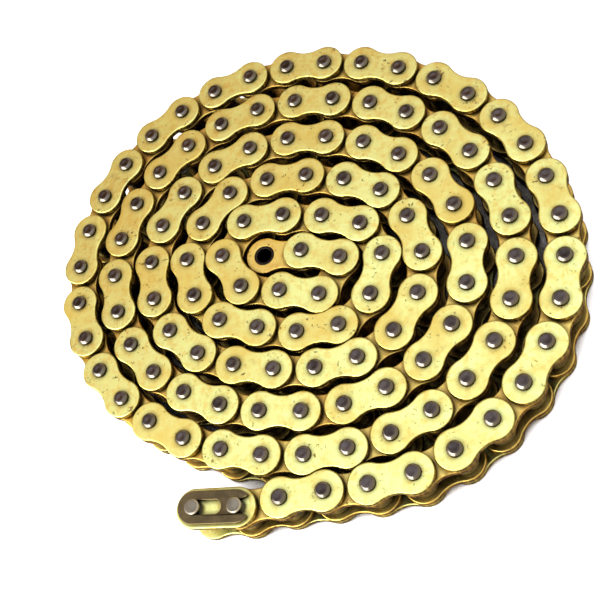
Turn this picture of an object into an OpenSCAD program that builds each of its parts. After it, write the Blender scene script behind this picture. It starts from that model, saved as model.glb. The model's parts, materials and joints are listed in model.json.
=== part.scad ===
// Roller drive chain, wound flat into a coil, with a clip-type master link at its outer end.
// Links alternate: an inner link is two plates, two bushes and two rollers, and an outer link
// is two plates and two pins. Every pin stands upright and the coil rests on the pin ends.

/* [Links] */
// Distance from one pin to the next
pitch = 12.7; // [12.6:0.05:12.8]
// Number of links in the chain, inner and outer together
link_count = 120; // [110:2:126]
// Clear width between the two inner plates
inner_width = 7.94; // [6.5:0.02:9.5]
// Thickness of every link plate
plate_t = 2; // [1.4:0.1:2.4]
// Height of a plate across its round ends
plate_h = 11.8; // [11:0.05:11.86]
// Height of a plate at its waist
waist_h = 9; // [8.4:0.1:9.2]

/* [Pins, bushes and rollers] */
// Diameter of the pins
pin_d = 4.5; // [4.2:0.05:4.6]
// How far a riveted pin stands out of the outer plates
pin_proud = 1.33; // [0.6:0.01:1.6]
// Chamfer round a pin's ends
pin_chamfer = 0.3; // [0.1:0.05:0.5]
// Outside diameter of the bushes
bush_d = 6.3; // [6.1:0.05:6.5]
// Outside diameter of the rollers
roller_d = 8.51; // [8.2:0.01:8.7]

/* [Running gaps] */
// Gap round a pin in its bush
pin_gap = 0.04; // [0.02:0.01:0.08]
// Gap between a bush and its roller
roller_gap = 0.05; // [0.03:0.01:0.09]
// Gap beside the inner plates and beside the rollers
side_gap = 0.1; // [0.05:0.01:0.2]

/* [Master link] */
// Height of the straight-sided front plate
front_plate_h = 11.5; // [10.5:0.1:11.8]
// Gap round a pin in the front plate
front_plate_gap = 0.03; // [0.01:0.01:0.06]
// Width of the spring clip
clip_w = 9.4; // [8.6:0.1:10]
// Thickness of the spring clip
clip_t = 1.2; // [1:0.05:1.4]
// How much wider the clip's mouth is than its slot, on each side
clip_flare = 0.5; // [0.3:0.1:0.8]
// Width of the clip's open slot and of its closed window
clip_slot = 4.1; // [4:0.05:4.2]
// Diameter of the grooves that the clip sits in
groove_d = 3.9; // [3.6:0.05:3.9]
// Gap above and below the clip in its grooves
clip_gap = 0.05; // [0.03:0.01:0.1]
// How far a master pin's head stands above its groove
master_head = 1.33; // [0.8:0.01:1.6]
// Solid bridge between the clip's slot and its window
clip_bridge = 2.15; // [1.8:0.05:2.3]

/* [Coil] */
// Place of the innermost bush, right of the centre of the winding
start_x = -8; // [-9:0.1:-7]
// Place of the innermost bush, above the centre of the winding
start_y = 5.2; // [4.4:0.1:6]
// Direction of the innermost link, in degrees
start_heading = -5; // [-6:1:-4]
// How far the chain turns at the first joint of its folded core, in degrees
fold_1 = 14; // [10:1:14]
// How far it turns at the second joint
fold_2 = 102; // [99:1:102]
// How far it turns at the third joint
fold_3 = 73; // [69:1:73]
// How far it turns at the fourth joint
fold_4 = 0; // [-2:1:0]
// How far it turns at the fifth joint
fold_5 = 46; // [43:1:46]
// How far it turns at the sixth joint
fold_6 = 63; // [60:1:65]
// How far the chain turns at each of its last joints, in degrees
end_fold = [20, 5, 0, -4, 10]; // [-10:1:25]
// Radius at which the winding would start, before it is flattened
turn_start = 9.6; // [9.4:0.05:9.8]
// How much the winding grows in each turn
turn_growth = 13; // [12.95:0.05:13.3]
// How much longer the winding is one way than its mean
flatten = 4.7; // [4.5:0.1:4.9]
// Direction of the longer way, in degrees clockwise
flatten_dir = 16; // [14:1:18]
// How far the winding leans to one side at its start
lean = 1; // [0.9:0.05:1.2]
// How much more it leans in each turn
lean_growth = 0.44; // [0.42:0.01:0.48]
// Direction of the lean, in degrees clockwise
lean_dir = -47; // [-50:1:-44]
// How far the winding is drawn out to three corners
three_sided = -0.5; // [-0.6:0.05:-0.4]
// Direction of one of those corners, in degrees clockwise
three_sided_dir = -34; // [-38:1:-30]
// Least gap between the plates of neighbouring turns
turn_gap = 0.07; // [0.05:0.01:0.1]

/* [Free end] */
// Number of links at the outer end that turn on their own pins
tail_links = 12; // [8:2:16]

/* [Hidden] */
$fn = 48;
// A straight side sits this far inside the round end that it meets
side_step = 0.02;
// A cut runs this far past the faces that it opens
past_face = 1;
// The web between a plate's round ends runs this far into them, and is this much lower than
// the points where its arcs meet them
web_overlap = 0.3;
web_drop = 0.05;

// Heights, from the pin ends that the coil rests on
outer_low_z = pin_proud;
inner_low_z = outer_low_z + plate_t + side_gap;
inner_high_z = inner_low_z + plate_t + inner_width;
outer_high_z = inner_high_z + plate_t + side_gap;
outer_top_z = outer_high_z + plate_t;
pin_len = outer_top_z + pin_proud;
roller_z = inner_low_z + plate_t + side_gap;
roller_len = inner_width - 2 * side_gap;
bush_len = inner_width + 2 * plate_t;
clip_z = outer_top_z + clip_gap;
groove_top_z = clip_z + clip_t + clip_gap;
master_pin_len = groove_top_z + master_head;

// The waist is an arc on each side, which meets both round ends
lobe_r = plate_h / 2;
waist_drop = lobe_r - waist_h / 2;
waist_y = (pow(pitch / 2, 2) - pow(waist_drop, 2)) / (2 * waist_drop);
waist_r = waist_y - waist_h / 2 + side_step;
meet_x = pitch / 2 * waist_r / (lobe_r + waist_r);
meet_y = waist_y * lobe_r / (lobe_r + waist_r);

// ---- Winding -------------------------------------------------------------------------
// A wound pin is [x, y, heading of the link that ends there, clockwise angle turned so far].
// Each pin is one pitch from the last. It lies on the winding curve where it can, and is
// turned further out where the turn inside is in the way.
pin_clear = plate_h + turn_gap;
// A round end that sits in a waist touches it beside the middle, which is a little higher
waist_rise = 0.13;
waist_clear = lobe_r + waist_h / 2 + waist_rise + turn_gap;
sharpest_fold = 100;
widest_swing = 35;
turned_away = 60;
look_back = 44;
halvings = 14;

core_fold = [fold_1, fold_2, fold_3, fold_4, fold_5, fold_6];

function wrapped(angle) = angle - 360 * floor((angle + 180) / 360);

function bearing(v) = atan2(v[1], v[0]);

function place(pin) = [pin[0], pin[1]];

function ahead(pin, heading) = place(pin) + pitch * [cos(heading), sin(heading)];

function turned(pin, spot) = pin[3] - wrapped(bearing(spot) - bearing(place(pin)));

function curve_r(angle) =
    turn_start + turn_growth * angle / 360
    + flatten * cos(2 * (angle - flatten_dir))
    + (lean + lean_growth * angle / 360) * cos(angle - lean_dir)
    + three_sided * cos(3 * (angle - three_sided_dir));

// True when a pin at this heading would lie outside the winding curve
function outside(pin, heading) =
    let (spot = ahead(pin, heading))
    norm(spot) > curve_r(turned(pin, spot));

// The swing, from straight on, that puts the next pin on the winding curve
function curve_swing(pin, low, high, n) =
    let (middle = (low + high) / 2)
    n == 0 ? middle
    : outside(pin, pin[2] + middle) ? curve_swing(pin, low, middle, n - 1)
    : curve_swing(pin, middle, high, n - 1);

// The least swing that keeps a point, this far along the next link, clear of an obstacle
function clear_swing(pin, obstacle, reach, clear) =
    let (v = obstacle - place(pin), d = norm(v))
    d >= reach + clear ? -sharpest_fold
    : let (side = acos((reach * reach + d * d - clear * clear) / (2 * reach * d)),
           swing = wrapped(bearing(v) + side - pin[2]))
      swing > turned_away ? -sharpest_fold : swing;

function least_swing(pins, last) =
    max([for (j = [max(0, last - look_back) : last - 2])
        let (old = place(pins[j]),
             next = place(pins[j + 1]),
             at_pin = clear_swing(pins[last], old, pitch, pin_clear),
             at_waist = clear_swing(pins[last], old, pitch / 2, waist_clear),
             of_waist = j == last - 2 ? -sharpest_fold
                 : clear_swing(pins[last], (old + next) / 2, pitch, waist_clear))
        max(at_pin, at_waist, of_waist)]);

function wanted_swing(pins, last) =
    last > link_count - 1 - len(end_fold)
    ? -end_fold[last - link_count + len(end_fold)]
    : curve_swing(pins[last], -sharpest_fold, widest_swing, halvings);

function next_swing(pins, last) =
    last - 1 < len(core_fold) ? -core_fold[last - 1]
    : max(wanted_swing(pins, last), least_swing(pins, last));

function next_pin(pins, last, swing) =
    let (heading = pins[last][2] + swing,
         spot = ahead(pins[last], heading))
    [spot[0], spot[1], heading, turned(pins[last], spot)];

function wind(pins) =
    len(pins) > link_count ? pins
    : let (last = len(pins) - 1)
      wind(concat(pins, [next_pin(pins, last, last == 0 ? 0 : next_swing(pins, last))]));

first_pin = [start_x, start_y, start_heading, -bearing([start_x, start_y])];
wound = wind([first_pin]);
xs = [for (pin = wound) pin[0]];
ys = [for (pin = wound) pin[1]];
centre = [(min(xs) + max(xs)) / 2, (min(ys) + max(ys)) / 2];
// Pin centres, measured from the middle of the coil
pin_at = [for (pin = wound) place(pin) - centre];
// Direction of each link, from its first pin to its second
link_dir = [for (k = [0 : link_count - 1]) wound[k + 1][2]];

// ---- Which link is which ---------------------------------------------------------------
// Links are counted from 0 at the inner end. Even ones are inner links, odd ones are outer
// links, and the last one is the master link.
coil_links = link_count - tail_links;
coil_inner = [0 : 2 : coil_links - 2];
coil_outer = [1 : 2 : coil_links - 1];
master = link_count - 1;
tail_inner_count = tail_links / 2;
tail_outer_count = tail_inner_count - 1;
tail_inner = [for (n = [1 : tail_inner_count]) coil_links + 2 * (n - 1)];
tail_outer = [for (n = [1 : tail_outer_count]) coil_links + 1 + 2 * (n - 1)];

coil_nodes = [
    "outer_plates_upper", "outer_plates_lower", "inner_plates_upper", "inner_plates_lower",
    "pins", "bushes", "rollers"
];
tail_inner_nodes = [for (n = [1 : tail_inner_count])
    for (name = ["tail_inner_plates_", "tail_bushes_"]) str(name, n)];
tail_roller_nodes = [for (n = [1 : tail_links]) str("tail_roller_", n)];
tail_outer_nodes = [for (n = [1 : tail_outer_count])
    for (name = ["tail_outer_plates_", "tail_pins_"]) str(name, n)];
master_nodes = ["master_back_plate", "master_pins", "master_front_plate", "spring_clip"];

outer_gold = [0.93, 0.85, 0.47];
inner_gold = [0.82, 0.63, 0.27];
pin_steel = [0.45, 0.42, 0.42];
bush_steel = [0.36, 0.33, 0.34];
roller_steel = [0.28, 0.26, 0.29];
clip_steel = [0.42, 0.37, 0.27];

// ---- Shapes ----------------------------------------------------------------------------
// A link's own frame has its first pin at the origin and its second pin along +X.
module at_link(k) {
    translate([pin_at[k][0], pin_at[k][1], 0])
        rotate([0, 0, link_dir[k]])
            children();
}

module at_both_pins() {
    children();
    translate([pitch, 0, 0])
        children();
}

// The outline of a plate: two round ends and a waist
module plate_outline() {
    at_both_pins()
        circle(r = lobe_r);
    translate([pitch / 2, 0])
        difference() {
            square(2 * [meet_x + web_overlap, meet_y - web_drop], center = true);
            for (side = [-1, 1])
                translate([0, side * waist_y])
                    circle(r = waist_r);
        }
}

// A straight-sided outline with round ends
module oblong(width) {
    at_both_pins()
        circle(d = width);
    translate([0, side_step - width / 2])
        square([pitch, width - 2 * side_step]);
}

module link_plate(z, hole_d) {
    translate([0, 0, z])
        linear_extrude(plate_t)
            difference() {
                plate_outline();
                at_both_pins()
                    circle(d = hole_d);
            }
}

module link_pin(length) {
    r = pin_d / 2;
    rotate_extrude()
        polygon([
            [0, 0],
            [r - pin_chamfer, 0],
            [r, pin_chamfer],
            [r, length - pin_chamfer],
            [r - pin_chamfer, length],
            [0, length]
        ]);
}

module tube(z, length, outer_d, inner_d) {
    translate([0, 0, z])
        difference() {
            cylinder(d = outer_d, h = length);
            translate([0, 0, -past_face])
                cylinder(d = inner_d, h = length + 2 * past_face);
        }
}

module grooved_pin() {
    difference() {
        link_pin(master_pin_len);
        tube(outer_top_z, groove_top_z - outer_top_z, pin_d + 2 * past_face, groove_d);
    }
}

module bush() {
    tube(inner_low_z, bush_len, bush_d, pin_d + 2 * pin_gap);
}

module roller() {
    tube(roller_z, roller_len, roller_d, bush_d + 2 * roller_gap);
}

// ---- Coil: every link up to the free end --------------------------------------------------
module outer_plates_upper() {
    color(outer_gold)
        for (k = coil_outer)
            at_link(k)
                link_plate(outer_high_z, pin_d);
}

module outer_plates_lower() {
    color(outer_gold)
        for (k = coil_outer)
            at_link(k)
                link_plate(outer_low_z, pin_d);
}

module inner_plates_upper() {
    color(inner_gold)
        for (k = coil_inner)
            at_link(k)
                link_plate(inner_high_z, bush_d);
}

module inner_plates_lower() {
    color(inner_gold)
        for (k = coil_inner)
            at_link(k)
                link_plate(inner_low_z, bush_d);
}

module pins() {
    color(pin_steel)
        for (k = coil_outer)
            at_link(k)
                at_both_pins()
                    link_pin(pin_len);
}

module bushes() {
    color(bush_steel)
        for (k = coil_inner)
            at_link(k)
                at_both_pins()
                    bush();
}

module rollers() {
    color(roller_steel)
        for (k = coil_inner)
            at_link(k)
                at_both_pins()
                    roller();
}

// ---- Free end: links that turn on their own pins -------------------------------------------
module tail_inner_plates(n) {
    color(inner_gold)
        at_link(tail_inner[n - 1]) {
            link_plate(inner_high_z, bush_d);
            link_plate(inner_low_z, bush_d);
        }
}

module tail_bushes(n) {
    color(bush_steel)
        at_link(tail_inner[n - 1])
            at_both_pins()
                bush();
}

module tail_roller(n) {
    color(roller_steel)
        at_link(coil_links + n - 1)
            roller();
}

module tail_outer_plates(n) {
    color(outer_gold)
        at_link(tail_outer[n - 1]) {
            link_plate(outer_high_z, pin_d);
            link_plate(outer_low_z, pin_d);
        }
}

module tail_pins(n) {
    color(pin_steel)
        at_link(tail_outer[n - 1])
            at_both_pins()
                link_pin(pin_len);
}

// ---- Master link ------------------------------------------------------------------------------
module master_back_plate() {
    color(outer_gold)
        at_link(master)
            link_plate(outer_low_z, pin_d);
}

module master_pins() {
    color(pin_steel)
        at_link(master)
            at_both_pins()
                grooved_pin();
}

module master_front_plate() {
    color(outer_gold)
        at_link(master)
            translate([0, 0, outer_high_z])
                linear_extrude(plate_t)
                    difference() {
                        oblong(front_plate_h);
                        at_both_pins()
                            circle(d = pin_d + 2 * front_plate_gap);
                    }
}

// The slot grips the first pin and is open at its end. The window holds the second pin, and is
// long enough for the clip to slide until the slot is clear of the first.
module spring_clip() {
    slot_r = clip_slot / 2;
    window_x = 2 * slot_r + clip_bridge;
    mouth_r = slot_r + clip_flare;
    color(clip_steel)
        at_link(master)
            translate([0, 0, clip_z])
                linear_extrude(clip_t)
                    difference() {
                        oblong(clip_w);
                        circle(r = slot_r);
                        translate([-clip_w, -slot_r + side_step])
                            square([clip_w, clip_slot - 2 * side_step]);
                        translate([-clip_w / 2 - mouth_r / 2, 0])
                            circle(r = mouth_r);
                        translate([window_x, 0])
                            circle(r = slot_r);
                        translate([pitch, 0])
                            circle(r = slot_r);
                        translate([window_x, -slot_r + side_step])
                            square([pitch - window_x, clip_slot - 2 * side_step]);
                    }
}

outer_plates_upper();
outer_plates_lower();
inner_plates_upper();
inner_plates_lower();
pins();
bushes();
rollers();
for (n = [1 : tail_inner_count]) {
    tail_inner_plates(n);
    tail_bushes(n);
}
for (n = [1 : tail_links]) {
    tail_roller(n);
}
for (n = [1 : tail_outer_count]) {
    tail_outer_plates(n);
    tail_pins(n);
}
master_back_plate();
master_pins();
master_front_plate();
spring_clip();
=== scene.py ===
"""Looks for a gold-plated roller chain wound flat into a coil. Every solid of the CAD frame is
rebuilt as a finished mesh in its own place: rounded rims, riveted pin ends, soft-edged tubes."""
import json
import math

import bmesh
import bpy
import numpy as np
from mathutils import Matrix, Vector
from mathutils.geometry import tessellate_polygon

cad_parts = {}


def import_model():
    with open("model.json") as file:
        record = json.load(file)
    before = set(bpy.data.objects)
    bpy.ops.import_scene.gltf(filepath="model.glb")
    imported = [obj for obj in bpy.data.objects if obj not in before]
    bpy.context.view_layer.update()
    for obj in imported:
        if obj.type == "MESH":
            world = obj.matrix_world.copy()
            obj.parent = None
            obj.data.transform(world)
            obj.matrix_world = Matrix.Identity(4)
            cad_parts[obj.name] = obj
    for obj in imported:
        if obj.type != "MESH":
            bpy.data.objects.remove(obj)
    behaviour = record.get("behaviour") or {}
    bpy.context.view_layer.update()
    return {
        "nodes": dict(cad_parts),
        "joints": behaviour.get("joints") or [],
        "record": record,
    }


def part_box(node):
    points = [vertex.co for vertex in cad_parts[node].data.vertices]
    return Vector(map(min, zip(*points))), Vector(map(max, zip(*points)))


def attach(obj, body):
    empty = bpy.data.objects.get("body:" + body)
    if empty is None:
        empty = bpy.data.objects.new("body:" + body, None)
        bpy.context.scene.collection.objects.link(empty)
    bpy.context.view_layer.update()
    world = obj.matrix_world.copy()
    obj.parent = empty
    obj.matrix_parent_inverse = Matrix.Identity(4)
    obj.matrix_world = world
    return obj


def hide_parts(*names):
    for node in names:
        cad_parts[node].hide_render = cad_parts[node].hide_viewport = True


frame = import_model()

MM = 0.001
BODIES = frame["record"]["behaviour"]["bodies"]
BODY_OF = {node: body for body, nodes in BODIES.items() for node in nodes}

# ---- Sizes ---------------------------------------------------------------------------------

JOINT_AT = {j["name"]: Vector(j["pos_m"]) for j in frame["joints"] if "pos_m" in j}
PITCH = (JOINT_AT["link_joint_2"] - JOINT_AT["link_joint_1"]).length
LOBE_R = 5.9 * MM
WAIST_HALF = 4.5 * MM
PIN_R = 2.25 * MM
BUSH_R = 3.15 * MM
BUSH_BORE_R = 2.29 * MM
ROLLER_R = 4.255 * MM
ROLLER_BORE_R = 3.2 * MM
FRONT_PLATE_R = 5.75 * MM
FRONT_HOLE_R = 2.28 * MM
CLIP_R = 4.7 * MM
CLIP_SLOT_R = 2.05 * MM
CLIP_WINDOW_X = 6.25 * MM
CLIP_MOUTH = 0.5 * MM
GROOVE_R = 1.95 * MM

PLATE_RIM = 0.42 * MM
HOLE_RIM = 0.12 * MM
CLIP_RIM = 0.16 * MM
BUSH_EDGE = 0.12 * MM
ROLLER_EDGE = 0.3 * MM

# How finely curves are divided
ARC_STEP = math.radians(6)
RIM_STEPS = 4
EDGE_STEPS = 3
PIN_SEGMENTS = 40
TUBE_SEGMENTS = 48

# Vertices of the CAD mesh nearer than this are one, and so are points of an outline
SAME_VERT = 1e-6
SAME_POINT = 1e-7
# A profile point nearer to the axis than this is on it
ON_AXIS = 1e-9
# Solids whose heights agree to this many digits of a metre lie in one layer
HEIGHT_DIGITS = 5
# Seed of the random turns of pins, bushes and rollers
TURN_SEED = 11


# ---- Where the CAD solids are ------------------------------------------------------------------

def solids(node):
    """Low and high corners of each separate solid of a CAD node."""
    bm = bmesh.new()
    bm.from_mesh(frame["nodes"][node].data)
    bmesh.ops.remove_doubles(bm, verts=bm.verts, dist=SAME_VERT)
    left = set(bm.verts)
    boxes = []
    while left:
        stack = [left.pop()]
        found = []
        while stack:
            vert = stack.pop()
            found.append(vert.co[:])
            for edge in vert.link_edges:
                other = edge.other_vert(vert)
                if other in left:
                    left.remove(other)
                    stack.append(other)
        found = np.array(found)
        boxes.append((found.min(0), found.max(0)))
    bm.free()
    return sorted(boxes, key=lambda b: (round(b[0][2], HEIGHT_DIGITS), b[0][0], b[0][1]))


def middles(node):
    return np.array([(low + high)[:2] / 2 for low, high in solids(node)])


# Pin centres of the outer links and bush centres of the inner links, wherever they are
ALL_PINS = np.concatenate([middles(n) for n in BODY_OF if "pins" in n])
ALL_BUSHES = np.concatenate([middles(n) for n in BODY_OF if "bushes" in n])


def link_places(node, centres):
    """(x, y, z, angle) of each plate of a node: its first pin, its underside and its direction."""
    places = []
    for low, high in solids(node):
        middle = (low + high)[:2] / 2
        near = centres[np.argsort(np.hypot(*(centres - middle).T))[:2]]
        along = near[1] - near[0]
        places.append((near[0][0], near[0][1], low[2], math.atan2(along[1], along[0])))
    return places


def round_places(node):
    """(x, y, z, angle) of each round solid of a node, each turned by a random angle."""
    turn = np.random.default_rng(TURN_SEED)
    return [((low + high)[0] / 2, (low + high)[1] / 2, low[2], turn.uniform(0, math.tau))
            for low, high in solids(node)]


# ---- Shapes: (points, faces) ---------------------------------------------------------------------

def arc(centre, radius, start, end):
    """Points along an arc, both ends included, in steps of about ARC_STEP."""
    steps = max(2, round(abs(end - start) / ARC_STEP))
    angles = np.linspace(start, end, steps + 1)
    return [(centre[0] + radius * math.cos(a), centre[1] + radius * math.sin(a))
            for a in angles]


def without_repeats(points):
    kept = []
    for point in points:
        if not kept or math.dist(point, kept[-1]) > SAME_POINT:
            kept.append(point)
    if math.dist(kept[0], kept[-1]) <= SAME_POINT:
        kept.pop()
    return kept


def plate_outline():
    """Two round ends joined by a waist that is an arc on each side, anticlockwise."""
    drop = LOBE_R - WAIST_HALF
    waist_y = ((PITCH / 2) ** 2 - drop ** 2) / (2 * drop)
    waist_r = waist_y - WAIST_HALF
    lean = math.atan2(waist_y, PITCH / 2)
    half_waist = math.pi / 2 - lean
    right = arc((PITCH, 0), LOBE_R, -(math.pi - lean), math.pi - lean)
    top = arc((PITCH / 2, waist_y), waist_r, -math.pi / 2 + half_waist, -math.pi / 2 - half_waist)
    left = arc((0, 0), LOBE_R, lean, math.tau - lean)
    bottom = arc((PITCH / 2, -waist_y), waist_r, math.pi / 2 + half_waist, math.pi / 2 - half_waist)
    return without_repeats(right + top + left + bottom)


def oblong_outline(radius):
    return without_repeats(arc((PITCH, 0), radius, -math.pi / 2, math.pi / 2)
                           + arc((0, 0), radius, math.pi / 2, 1.5 * math.pi))


def round_hole(x, radius):
    return without_repeats(arc((x, 0), radius, math.tau, 0))


def window_hole():
    return without_repeats(arc((PITCH, 0), CLIP_SLOT_R, math.pi / 2, -math.pi / 2)
                           + arc((CLIP_WINDOW_X, 0), CLIP_SLOT_R, 1.5 * math.pi, math.pi / 2))


def clip_outline():
    """An oblong with a slot that opens at the first pin's end. The two prong tips are rounded."""
    tip_r = 0.45 * MM
    throat = 1.1 * MM
    slot = CLIP_SLOT_R
    mouth = math.asin((slot + CLIP_MOUTH + tip_r) / (CLIP_R - tip_r))
    tip_x = -(CLIP_R - tip_r) * math.cos(mouth)
    tip_y = (CLIP_R - tip_r) * math.sin(mouth)
    closed = arc((PITCH, 0), CLIP_R, -math.pi / 2, math.pi / 2)
    upper = arc((0, 0), CLIP_R, math.pi / 2, math.pi - mouth)
    upper_tip = arc((tip_x, tip_y), tip_r, math.pi - mouth, 1.5 * math.pi)
    throat_x = tip_x + throat
    seat = arc((0, 0), slot, math.pi / 2, -math.pi / 2)
    lower_tip = arc((tip_x, -tip_y), tip_r, math.pi / 2, math.pi + mouth)
    lower = arc((0, 0), CLIP_R, math.pi + mouth, 1.5 * math.pi)
    return without_repeats(closed + upper + upper_tip + [(throat_x, slot)] + seat
                           + [(throat_x, -slot)] + lower_tip + lower)


def inset(loop, distance):
    """The loop moved towards its left side, where the material is."""
    points = np.array(loop)
    ahead = np.roll(points, -1, 0) - points
    ahead /= np.linalg.norm(ahead, axis=1)[:, None]
    normal = np.stack([-ahead[:, 1], ahead[:, 0]], 1)
    before = np.roll(normal, 1, 0)
    mitre = (normal + before) / (1 + (normal * before).sum(1))[:, None]
    return points + mitre * distance


def slab(outline, holes, thickness, rim, hole_rim):
    """A flat plate with rounded rims. The outline runs anticlockwise and the holes clockwise."""
    points, faces = [], []
    caps = [[], []]
    for loop, radius in [(outline, rim)] + [(hole, hole_rim) for hole in holes]:
        bend = np.linspace(0, math.pi / 2, RIM_STEPS + 1)
        rings = [(radius * (1 - math.sin(a)), radius * (1 - math.cos(a))) for a in bend]
        rings += [(d, thickness - z) for d, z in reversed(rings)]
        count = len(loop)
        first = len(points)
        for distance, z in rings:
            moved = inset(loop, distance)
            points += [(x, y, z) for x, y in moved]
        for ring in range(len(rings) - 1):
            a = first + ring * count
            b = a + count
            for i in range(count):
                j = (i + 1) % count
                faces.append((a + i, a + j, b + j, b + i))
        caps[0].append(range(first, first + count))
        last = first + (len(rings) - 1) * count
        caps[1].append(range(last, last + count))
    for loops, up in zip(caps, (False, True)):
        flat = [i for loop in loops for i in loop]
        for tri in tessellate_polygon([[Vector(points[i]) for i in loop] for loop in loops]):
            a, b, c = (np.array(points[flat[i]]) for i in tri)
            upward = np.cross(b - a, c - a)[2] > 0
            face = tuple(flat[i] for i in tri)
            faces.append(face if upward == up else face[::-1])
    return np.array(points), faces


def rounded(profile):
    """A profile of (radius, z, corner radius) points, with each corner turned into an arc."""
    out = []
    count = len(profile)
    for i, (r, z, bend) in enumerate(profile):
        if not bend:
            out.append((r, z))
            continue
        here = np.array((r, z))
        before = np.array(profile[i - 1][:2]) - here
        after = np.array(profile[(i + 1) % count][:2]) - here
        before /= np.linalg.norm(before)
        after /= np.linalg.norm(after)
        half = math.acos(np.clip(before @ after, -1, 1)) / 2
        middle = here + (before + after) / np.linalg.norm(before + after) * bend / math.sin(half)
        reach = bend / math.tan(half)
        start, end = here + before * reach - middle, here + after * reach - middle
        spread = math.pi - 2 * half
        for k in range(EDGE_STEPS + 1):
            t = k / EDGE_STEPS
            mix = (start * math.sin((1 - t) * spread) + end * math.sin(t * spread)) / math.sin(spread)
            out.append(tuple(middle + mix))
    return out


def lathe(profile, segments):
    """A profile turned about Z. Anticlockwise seen with r to the right and z up. Points on the
    axis become one vertex."""
    points, rows, faces = [], [], []
    for r, z in profile:
        if r < ON_AXIS:
            rows.append([len(points)] * segments)
            points.append((0, 0, z))
        else:
            rows.append([len(points) + i for i in range(segments)])
            points += [(r * math.cos(math.tau * i / segments),
                        r * math.sin(math.tau * i / segments), z) for i in range(segments)]
    closed = profile[0][0] > ON_AXIS
    for k in range(len(rows) if closed else len(rows) - 1):
        a, b = rows[k], rows[(k + 1) % len(rows)]
        for i in range(segments):
            j = (i + 1) % segments
            corners = dict.fromkeys((a[i], a[j], b[j], b[i]))
            faces.append(tuple(corners))
    return np.array(points), faces


def riveted_pin(length):
    """A plain pin with a broad cone hammered round both ends, and a light dish in the middle."""
    cone_in, cone_down, soft = 0.72 * MM, 0.56 * MM, 0.2 * MM
    dish_r, dish = 0.95 * MM, 0.07 * MM
    dish_floor_r = dish_r * 0.55
    profile = [
        (0, dish, 0),
        (dish_floor_r, dish, 0),
        (dish_r, 0, soft),
        (PIN_R - cone_in, 0, soft),
        (PIN_R, cone_down, soft),
        (PIN_R, length - cone_down, soft),
        (PIN_R - cone_in, length, soft),
        (dish_r, length, soft),
        (dish_floor_r, length - dish, 0),
        (0, length - dish, 0),
    ]
    return lathe(rounded(profile), PIN_SEGMENTS)


def grooved_pin(length, groove_low, groove_high):
    """A master link pin: chamfered ends and a square groove for the clip."""
    chamfer, edge = 0.38 * MM, 0.06 * MM
    profile = [
        (0, 0, 0),
        (PIN_R - chamfer, 0, edge),
        (PIN_R, chamfer, edge),
        (PIN_R, groove_low, edge),
        (GROOVE_R, groove_low, edge),
        (GROOVE_R, groove_high, edge),
        (PIN_R, groove_high, edge),
        (PIN_R, length - chamfer, edge),
        (PIN_R - chamfer, length, edge),
        (0, length, 0),
    ]
    return lathe(rounded(profile), TUBE_SEGMENTS)


def tube(outer, inner, length, edge):
    return lathe(rounded([
        (inner, 0, edge),
        (outer, 0, edge),
        (outer, length, edge),
        (inner, length, edge),
    ]), TUBE_SEGMENTS)


def copies(shape, places):
    """One shape repeated at every (x, y, z, angle)."""
    points, faces = shape
    all_points, all_faces = [], []
    for n, (x, y, z, angle) in enumerate(places):
        c, s = math.cos(angle), math.sin(angle)
        turn = np.array([[c, s, 0], [-s, c, 0], [0, 0, 1]])
        all_points.append(points @ turn + (x, y, z))
        shift = n * len(points)
        all_faces += [tuple(i + shift for i in face) for face in faces]
    return np.concatenate(all_points), all_faces


# ---- Materials -------------------------------------------------------------------------------------

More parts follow.
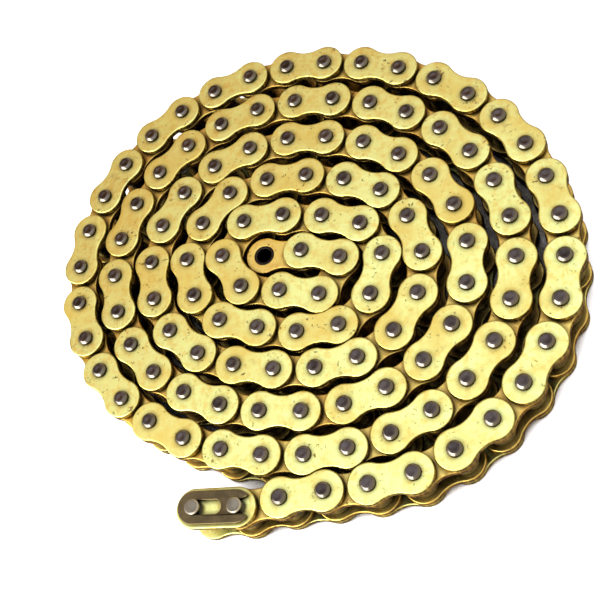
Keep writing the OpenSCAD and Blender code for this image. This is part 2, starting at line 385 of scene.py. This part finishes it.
class Nodes:
    """Short calls for building one material's node tree."""

    def __init__(self, name):
        self.material = bpy.data.materials.new(name)
        self.material.use_nodes = True
        self.tree = self.material.node_tree
        self.tree.nodes.clear()
        self.place = self.add("ShaderNodeTexCoord").outputs["Object"]
        self.geometry = self.add("ShaderNodeNewGeometry")

    def add(self, kind, **settings):
        node = self.tree.nodes.new(kind)
        for key, value in settings.items():
            setattr(node, key, value)
        return node

    def put(self, socket, value):
        if isinstance(value, bpy.types.NodeSocket):
            self.tree.links.new(value, socket)
        else:
            socket.default_value = value

    def math(self, operation, a, b=0.0):
        node = self.add("ShaderNodeMath", operation=operation)
        self.put(node.inputs[0], a)
        self.put(node.inputs[1], b)
        return node.outputs[0]

    def ramp(self, value, low, high, out_low=0.0, out_high=1.0):
        node = self.add("ShaderNodeMapRange", interpolation_type="SMOOTHSTEP")
        for key, v in (("Value", value), ("From Min", low), ("From Max", high),
                       ("To Min", out_low), ("To Max", out_high)):
            self.put(node.inputs[key], v)
        return node.outputs["Result"]

    def noise(self, scale, detail=3.0, rough=0.55, stretch=None):
        where = self.place
        if stretch:
            mapping = self.add("ShaderNodeMapping")
            self.put(mapping.inputs["Vector"], where)
            mapping.inputs["Scale"].default_value = stretch[0]
            mapping.inputs["Rotation"].default_value = stretch[1]
            where = mapping.outputs["Vector"]
        node = self.add("ShaderNodeTexNoise")
        self.put(node.inputs["Vector"], where)
        node.inputs["Scale"].default_value = scale
        node.inputs["Detail"].default_value = detail
        node.inputs["Roughness"].default_value = rough
        return node.outputs["Fac"]

    def mix(self, factor, a, b):
        node = self.add("ShaderNodeMix", data_type="RGBA")
        self.put(node.inputs["Factor"], factor)
        for key, value in (("A", a), ("B", b)):
            sockets = [s for s in node.inputs if s.name == key and s.type == "RGBA"]
            self.put(sockets[0], value)
        return [s for s in node.outputs if s.type == "RGBA"][0]

    def bump(self, height, strength, distance, normal=None):
        node = self.add("ShaderNodeBump")
        node.inputs["Strength"].default_value = strength
        node.inputs["Distance"].default_value = distance
        self.put(node.inputs["Height"], height)
        if normal:
            self.put(node.inputs["Normal"], normal)
        return node.outputs["Normal"]

    def metal(self, color, roughness, normal, metallic=1.0, coat=0.0):
        shader = self.add("ShaderNodeBsdfPrincipled")
        self.put(shader.inputs["Base Color"], color)
        self.put(shader.inputs["Roughness"], roughness)
        self.put(shader.inputs["Metallic"], metallic)
        self.put(shader.inputs["Normal"], normal)
        shader.inputs["Coat Weight"].default_value = coat
        shader.inputs["Coat Roughness"].default_value = 0.25
        out = self.add("ShaderNodeOutputMaterial")
        self.tree.links.new(shader.outputs["BSDF"], out.inputs["Surface"])
        return self.material

    def facing_up(self):
        """1 on flat faces that look up or down, 0 on the sides."""
        split = self.add("ShaderNodeSeparateXYZ")
        self.tree.links.new(self.geometry.outputs["True Normal"], split.inputs[0])
        return self.math("ABSOLUTE", split.outputs["Z"])

    def open_to_air(self, distance, samples=4):
        """1 where nothing is near above the surface, falling to 0 deep in a gap."""
        node = self.add("ShaderNodeAmbientOcclusion", samples=samples)
        node.inputs["Distance"].default_value = distance
        return node.outputs["AO"]

    def scratches(self):
        """Fine rubbed scratches that run in three directions."""
        total = None
        for angle, seed in ((0.3, 1.0), (1.45, 2.0), (2.5, 3.0)):
            streaks = self.noise(420, 2.0, 0.6, stretch=((1.0, 0.035, 0.2), (0, seed, angle)))
            line = self.ramp(streaks, 0.62, 0.72)
            total = line if total is None else self.math("MAXIMUM", total, line)
        return total


def rgb(red, green, blue):
    """A colour given as 0 to 255 display values, in Blender's linear terms."""
    def linear(v):
        v /= 255
        return v / 12.92 if v <= 0.04045 else ((v + 0.055) / 1.055) ** 2.4
    return linear(red), linear(green), linear(blue), 1.0


# Painted shade: deep in the gaps between the links the surfaces are painted nearly black
GAP_SHADE_COLOR = rgb(14, 9, 15)
GAP_SHADE_REACH = 11 * MM
# Painted shade: flat faces go brown at the foot of each pin and of each higher plate, this far out
FOOT_SHADE_REACH = 1.6 * MM


def painted_gap_shade(n, color):
    """The colour as it is in the open, painted nearly black as shade where the surface lies in a gap.
    """
    return n.mix(n.ramp(n.open_to_air(GAP_SHADE_REACH), 0.16, 0.62), GAP_SHADE_COLOR, color)


def gold(name, face, warm, side, stain_and_foot_shade):
    """Thin satin gold plating: pale flat faces, deeper warm patches, sides painted darker as shade,
    rubbed scratches, small brown specks, and painted shade at the feet of pins and deep in gaps."""
    n = Nodes(name)
    island = n.geometry.outputs["Random Per Island"]
    cloud = n.noise(70, 4.0, 0.6)
    patch = n.ramp(n.math("ADD", cloud, n.math("MULTIPLY", island, 0.32)), 0.55, 0.98, 0, 0.85)
    color = n.mix(patch, face, warm)
    mottle = n.ramp(n.noise(420, 4.0, 0.7), 0.42, 0.70, 0, 0.75)
    color = n.mix(mottle, color, warm)
    smudge = n.math("MULTIPLY", n.ramp(n.noise(300, 5.0, 0.75), 0.56, 0.72),
                    n.ramp(n.noise(110, 2.0, 0.5), 0.42, 0.60, 0, 0.6))
    color = n.mix(smudge, color, side)
    # Painted shade: the sides of the plates are painted a darker brown gold than the flat faces, with
    # lighter streaks
    flat = n.ramp(n.facing_up(), 0.35, 0.93)
    streak = n.noise(900, 2.0, 0.6, stretch=((1, 1, 0.12), (0, 0, 0)))
    painted_side_shade = n.mix(n.ramp(streak, 0.35, 0.7), side, warm)
    color = n.mix(flat, painted_side_shade, color)
    specks = n.math("MULTIPLY", n.ramp(n.noise(1000, 2.0, 0.5), 0.60, 0.70),
                    n.ramp(n.noise(170, 2.0, 0.5), 0.46, 0.66))
    # Small brown specks of real staining
    color = n.mix(n.math("MULTIPLY", specks, 0.8), color, stain_and_foot_shade)
    # Painted shade: brown on flat faces at the foot of each pin and each higher plate, where these
    # stand over them
    foot_shade = n.ramp(n.open_to_air(FOOT_SHADE_REACH), 0.72, 0.98, 0.5, 0)
    color = n.mix(n.math("MULTIPLY", foot_shade, flat), color, stain_and_foot_shade)
    # Painted shade: nearly black deep in the gaps
    color = painted_gap_shade(n, color)
    scratches = n.scratches()
    rough = n.ramp(cloud, 0.3, 0.75, 0.26, 0.42)
    rough = n.math("ADD", rough, n.math("MULTIPLY", scratches, 0.12))
    rough = n.math("ADD", rough, n.math("MULTIPLY", n.math("SUBTRACT", 1.0, flat), 0.16))
    height = n.math("SUBTRACT", n.noise(260, 4.0, 0.6), n.math("MULTIPLY", scratches, 0.5))
    height = n.math("SUBTRACT", height, n.math("MULTIPLY", specks, 0.8))
    normal = n.bump(height, 0.35, 0.06 * MM)
    normal = n.bump(streak, 0.25, 0.04 * MM, normal)
    return n.metal(color, rough, normal)


def steel(name, base, shade, rim, rough_low, rough_high, oil=0.0):
    """Steel with a cloudy dark tone, turning marks round the axis and a thin oil film. Its
    rounded rims are rubbed bright, and deep in the gaps it is painted nearly black as shade."""
    n = Nodes(name)
    cloud = n.noise(240, 4.0, 0.6)
    color = n.mix(n.ramp(cloud, 0.35, 0.7), base, shade)
    marks = n.noise(1500, 2.0, 0.5, stretch=((0.15, 0.15, 1.0), (0, 0, 0)))
    color = n.mix(n.math("MULTIPLY", n.ramp(marks, 0.45, 0.7), 0.3), color, shade)
    up = n.facing_up()
    on_rim = n.math("MULTIPLY", n.ramp(up, 0.10, 0.35), n.ramp(up, 0.82, 0.95, 1, 0))
    color = n.mix(on_rim, color, rim)
    # Painted shade: nearly black deep in the gaps
    color = painted_gap_shade(n, color)
    rough = n.ramp(cloud, 0.3, 0.75, rough_low, rough_high)
    height = n.math("ADD", n.math("MULTIPLY", marks, 0.6), n.noise(900, 3.0, 0.6))
    normal = n.bump(height, 0.3, 0.05 * MM)
    return n.metal(color, rough, normal, coat=oil)


MATERIALS = {
    "outer_plate": gold("gold_outer", rgb(241, 243, 148), rgb(234, 206, 100), rgb(138, 104, 52),
                        rgb(96, 68, 30)),
    # The inner plates' gold is deeper and darker than the outer plates', partly as painted shade on
    # these lower, half-hidden plates
    "inner_plate": gold("gold_inner", rgb(236, 208, 106), rgb(218, 168, 76), rgb(128, 88, 42),
                        rgb(84, 56, 26)),
    "pin": steel("steel_pin", rgb(92, 82, 74), rgb(60, 52, 46), rgb(128, 122, 112), 0.20, 0.30),
    "bush": steel("steel_bush", rgb(46, 40, 32), rgb(28, 24, 20), rgb(44, 38, 30),
                  0.25, 0.4, 0.15),
    "roller": steel("steel_roller", rgb(70, 64, 66), rgb(38, 34, 36), rgb(108, 102, 104),
                    0.22, 0.38, 0.6),
    "clip": steel("steel_clip", rgb(104, 88, 54), rgb(80, 68, 42), rgb(138, 122, 82),
                  0.3, 0.46, 0.2),
}
# The master link's own pins are newer and brighter than the riveted ones
FINISH_OF = {"master_pins": steel("steel_master_pin", rgb(138, 130, 108), rgb(106, 98, 80),
                                  rgb(206, 198, 180), 0.28, 0.4)}
SLOT_OF = {s["node"]: s["material_slot"] for s in frame["record"]["subparts"]}


# ---- Pieces ---------------------------------------------------------------------------------------

def make_piece(node, shape):
    """A finished mesh that stands for one CAD node and rides on its body."""
    points, faces = shape
    mesh = bpy.data.meshes.new(node + "_finished")
    mesh.from_pydata(points.tolist(), [], faces)
    mesh.shade_smooth()
    mesh.materials.append(FINISH_OF.get(node, MATERIALS[SLOT_OF[node]]))
    piece = bpy.data.objects.new(node + "_finished", mesh)
    bpy.context.scene.collection.objects.link(piece)
    weighted = piece.modifiers.new("flat_faces", "WEIGHTED_NORMAL")
    weighted.weight = 100
    weighted.keep_sharp = False
    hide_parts(node)
    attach(piece, BODY_OF[node])


def thickness(node):
    low, high = solids(node)[0]
    return high[2] - low[2]


def plate_shape(node, outline, hole_r):
    holes = [round_hole(0, hole_r), round_hole(PITCH, hole_r)]
    return slab(outline, holes, thickness(node), PLATE_RIM, HOLE_RIM)


def shape_of(node):
    """The finished shape of a CAD node's solids, each in its own place."""
    if node == "master_front_plate":
        plate = plate_shape(node, oblong_outline(FRONT_PLATE_R), FRONT_HOLE_R)
        return copies(plate, master_place(node))
    if node == "spring_clip":
        clip = slab(clip_outline(), [window_hole()], thickness(node), CLIP_RIM, CLIP_RIM)
        return copies(clip, master_place(node))
    if node == "master_pins":
        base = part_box("master_front_plate")[1].z
        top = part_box("spring_clip")[1].z + (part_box("spring_clip")[0].z - base)
        return copies(grooved_pin(thickness(node), base, top), round_places(node))
    if "pins" in node:
        return copies(riveted_pin(thickness(node)), round_places(node))
    if "bushes" in node:
        bush = tube(BUSH_R, BUSH_BORE_R, thickness(node), BUSH_EDGE)
        return copies(bush, round_places(node))
    if "roller" in node:
        roller = tube(ROLLER_R, ROLLER_BORE_R, thickness(node), ROLLER_EDGE)
        return copies(roller, round_places(node))
    if "inner_plates" in node:
        plate = plate_shape(node, plate_outline(), BUSH_R)
        return copies(plate, link_places(node, ALL_BUSHES))
    plate = plate_shape(node, plate_outline(), PIN_R)
    return copies(plate, link_places(node, ALL_PINS))


def master_place(node):
    """The master link's place: its first pin is the last joint, and its second is the free end."""
    first = JOINT_AT["link_joint_12"]
    ends = middles("master_pins")
    far = max(ends, key=lambda p: math.dist(p, first[:2]))
    angle = math.atan2(far[1] - first.y, far[0] - first.x)
    return [(first.x, first.y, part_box(node)[0].z, angle)]


for cad_node in sorted(BODY_OF):
    make_piece(cad_node, shape_of(cad_node))


# ---- Floor, lights and camera -----------------------------------------------------------------------

def lift_for_camera(n, tone, glow, bounce):
    """The camera sees the floor lifted to white by a glow, and the chain sees it as mid grey."""
    out = next(x for x in n.tree.nodes if x.type == "OUTPUT_MATERIAL")
    paper = out.inputs["Surface"].links[0].from_socket
    emission = n.add("ShaderNodeEmission")
    n.put(emission.inputs["Color"], tone)
    emission.inputs["Strength"].default_value = glow
    lifted = n.add("ShaderNodeAddShader")
    grey = n.add("ShaderNodeBsdfDiffuse")
    grey.inputs["Color"].default_value = (bounce, bounce, bounce, 1)
    switch = n.add("ShaderNodeMixShader")
    n.put(lifted.inputs[0], paper)
    n.put(lifted.inputs[1], emission.outputs[0])
    n.put(switch.inputs[0], n.add("ShaderNodeLightPath").outputs["Is Camera Ray"])
    n.put(switch.inputs[1], grey.outputs[0])
    n.put(switch.inputs[2], lifted.outputs[0])
    n.put(out.inputs["Surface"], switch.outputs[0])


def floor():
    """Pale paper with painted shade: it goes tan beside the chain and dark under it."""
    mesh = bpy.data.meshes.new("floor")
    half, below = 3.0, -0.02 * MM
    shade_reach = 15 * MM
    corners = [(-half, -half), (half, -half), (half, half), (-half, half)]
    mesh.from_pydata([(x, y, below) for x, y in corners], [], [(0, 1, 2, 3)])
    n = Nodes("floor_paper")
    paper = n.mix(n.ramp(n.noise(9, 3.0, 0.5), 0.3, 0.7), rgb(252, 252, 252), rgb(247, 247, 247))
    air = n.open_to_air(shade_reach, samples=8)
    # Painted shade: tan beside the chain and near black under it, where the chain hems the floor in;
    # the glow carries it to the camera
    shaded = n.mix(n.ramp(air, 0.25, 0.39), rgb(16, 17, 15), rgb(140, 126, 108))
    tone = n.mix(n.ramp(air, 0.35, 0.46), shaded, paper)
    n.metal(tone, 0.85, n.bump(n.noise(600, 2.0, 0.5), 0.05, 0.1 * MM), metallic=0.0)
    lift_for_camera(n, tone, glow=0.62, bounce=0.22)
    mesh.materials.append(n.material)
    plane = bpy.data.objects.new("floor", mesh)
    bpy.context.scene.collection.objects.link(plane)


def softbox(name, place, aim, size, watts):
    lamp = bpy.data.lights.new(name, "AREA")
    lamp.shape = "RECTANGLE"
    lamp.size, lamp.size_y = size
    lamp.energy = watts
    obj = bpy.data.objects.new(name, lamp)
    obj.location = place
    obj.rotation_euler = (Vector(aim) - Vector(place)).to_track_quat("-Z", "Y").to_euler()
    bpy.context.scene.collection.objects.link(obj)


def world(azimuth, horizon, middle, top, sides, tints):
    """A soft studio sky. Opposite a camera at this azimuth, its light falls from the horizon to
    38 degrees up, then rises up to 67 degrees, and its tint goes from cream to orange to pale
    blue on the way up. On the other sides the orange is left out, and the light never falls
    below a level of its own. The camera itself sees plain white. Heights are sines of the
    elevation, and across is how far a direction points away from the camera."""
    dimmest, brightest = 0.62, 0.92
    cream_to_orange, orange_to_blue = (0.35, 0.65), (0.74, 0.86)
    opposite_from, opposite_to = 0.05, 0.35
    studio = bpy.data.worlds.new("studio")
    studio.use_nodes = True
    tree = studio.node_tree
    tree.nodes.clear()
    direction = tree.nodes.new("ShaderNodeTexCoord").outputs["Generated"]
    split = tree.nodes.new("ShaderNodeSeparateXYZ")
    tree.links.new(direction, split.inputs[0])
    along = tree.nodes.new("ShaderNodeVectorMath")
    along.operation = "DOT_PRODUCT"
    along.inputs[1].default_value = (-math.sin(math.radians(azimuth)),
                                     math.cos(math.radians(azimuth)), 0)
    tree.links.new(direction, along.inputs[0])

    def ramp(value, low, high, out_low, out_high):
        node = tree.nodes.new("ShaderNodeMapRange")
        for key, v in zip(("From Min", "From Max", "To Min", "To Max"),
                          (low, high, out_low, out_high)):
            node.inputs[key].default_value = v
        tree.links.new(value, node.inputs["Value"])
        return node.outputs["Result"]

    def combine(operation, a, b):
        node = tree.nodes.new("ShaderNodeMath")
        node.operation = operation
        tree.links.new(a, node.inputs[0])
        tree.links.new(b, node.inputs[1])
        return node.outputs[0]

    def tinted(factor, low, high):
        mix = tree.nodes.new("ShaderNodeMix")
        mix.data_type = "RGBA"
        tree.links.new(factor, mix.inputs["Factor"])
        first, second = [s for s in mix.inputs if s.type == "RGBA"]
        if isinstance(low, bpy.types.NodeSocket):
            tree.links.new(low, first)
        else:
            first.default_value = (*low, 1)
        second.default_value = (*high, 1)
        return [s for s in mix.outputs if s.type == "RGBA"][0]

    height, across = split.outputs["Z"], along.outputs["Value"]
    rising = combine("ADD", ramp(height, 0, dimmest, horizon, middle),
                     ramp(height, dimmest, brightest, 0, top - middle))
    strength = combine("MAXIMUM", rising, ramp(across, opposite_from, opposite_to, sides, 0))
    warming = combine("MULTIPLY", ramp(height, *cream_to_orange, 0, 1),
                      ramp(across, opposite_from, opposite_to, 0, 1))
    color = tinted(warming, tints[0], tints[1])
    color = tinted(ramp(height, *orange_to_blue, 0, 1), color, tints[2])
    light = tree.nodes.new("ShaderNodeBackground")
    tree.links.new(color, light.inputs["Color"])
    tree.links.new(strength, light.inputs["Strength"])
    white = tree.nodes.new("ShaderNodeBackground")
    white.inputs["Color"].default_value = (1, 1, 1, 1)
    seen = tree.nodes.new("ShaderNodeMixShader")
    tree.links.new(tree.nodes.new("ShaderNodeLightPath").outputs["Is Camera Ray"], seen.inputs[0])
    tree.links.new(light.outputs[0], seen.inputs[1])
    tree.links.new(white.outputs[0], seen.inputs[2])
    output = tree.nodes.new("ShaderNodeOutputWorld")
    tree.links.new(seen.outputs[0], output.inputs["Surface"])
    bpy.context.scene.world = studio


def camera(azimuth, elevation, roll, distance, aim, lens):
    """A camera that looks at aim. Azimuth 0 looks along +Y; roll turns the picture."""
    a, e, r = (math.radians(v) for v in (azimuth, elevation, roll))
    back = Vector((math.sin(a) * math.cos(e), -math.cos(a) * math.cos(e), math.sin(e)))
    level = Vector((math.cos(a), math.sin(a), 0))
    rise = back.cross(level)
    right = level * math.cos(r) - rise * math.sin(r)
    up = level * math.sin(r) + rise * math.cos(r)
    data = bpy.data.cameras.new("camera")
    data.lens = lens
    data.sensor_width = 36
    data.clip_start = 0.01
    obj = bpy.data.objects.new("camera", data)
    turn = Matrix((right, up, back)).transposed()
    obj.matrix_world = Matrix.Translation(Vector(aim) + back * distance) @ turn.to_4x4()
    bpy.context.scene.collection.objects.link(obj)
    bpy.context.scene.camera = obj


CAMERA_AZIMUTH = 38.24
# The spot that the camera looks at, level with the tops of the pins
AIM = (-0.57 * MM, -11.97 * MM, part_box("pins")[1].z)

floor()
world(CAMERA_AZIMUTH, horizon=1.0, middle=0.235, top=1.39, sides=0.75,
      tints=((1, 0.87, 0.66), (1, 0.46, 0.06), (1, 1.08, 1.36)))
softbox("front_left", place=(-0.32, -0.34, 0.30), aim=(0, 0, 0), size=(0.75, 0.28), watts=4.8)
camera(CAMERA_AZIMUTH, elevation=59.82, roll=42.38, distance=26.2 * PITCH, aim=AIM, lens=68.67)
bpy.context.scene.view_settings.view_transform = "Standard"
